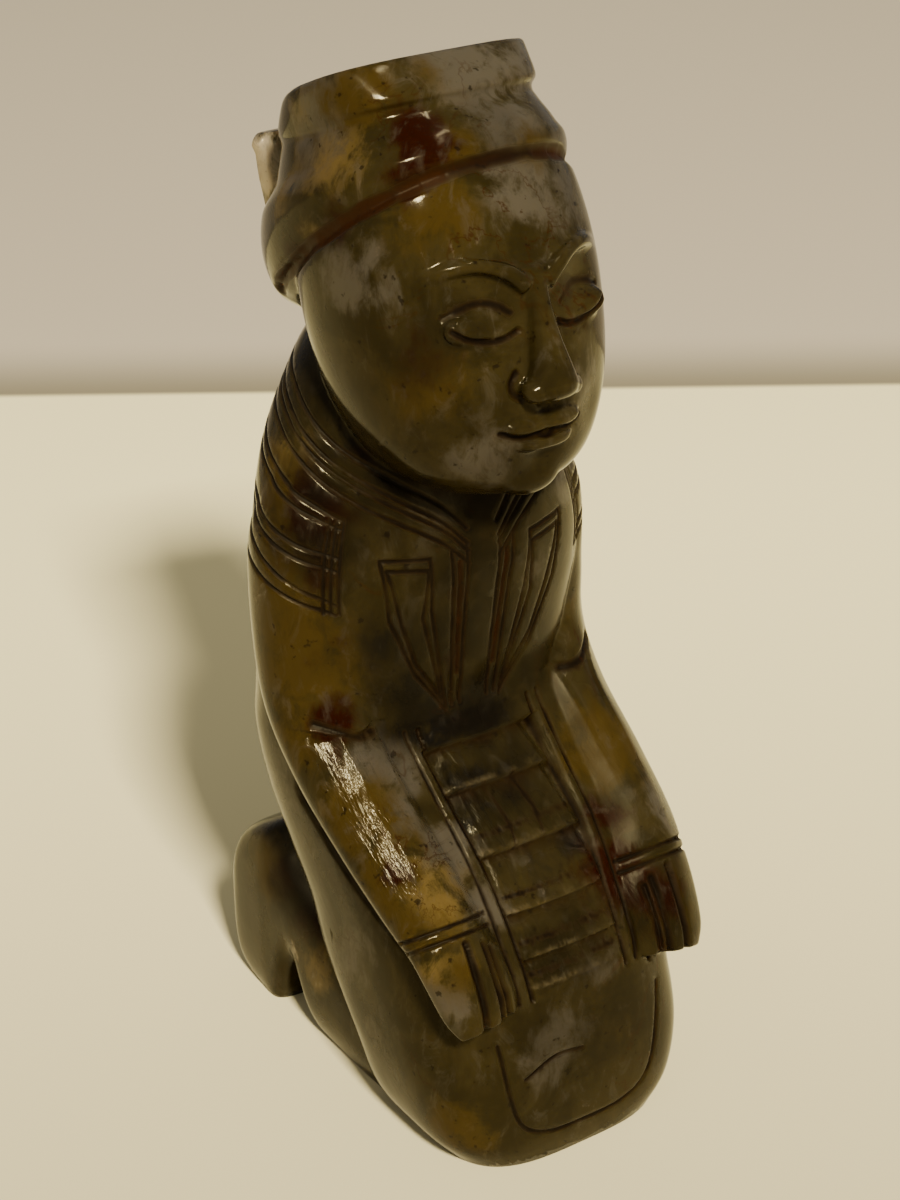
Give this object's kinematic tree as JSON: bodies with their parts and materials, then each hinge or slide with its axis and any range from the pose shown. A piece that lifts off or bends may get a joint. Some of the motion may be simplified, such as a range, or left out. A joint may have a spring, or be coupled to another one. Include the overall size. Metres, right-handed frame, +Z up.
{
  "type": "jade figure carving",
  "caption": "Small jade carving of a robed figure kneeling upright with hands on thighs and a flat cap, standing on its own carved base.",
  "frame": {"origin": "centre of the figure's bounding box in plan, at the flat underside it stands on", "axes": "+Z up through the head, -Y the way the figure faces, +X to the figure's left"},
  "size_m": [0.035, 0.0454, 0.1],
  "materials": {
    "jade": "polished translucent nephrite jade, olive and grey-green with amber and russet patches"
  },
  "bodies": {
    "root": {"kneeling_figure": "jade"}
  },
  "joints": []
}
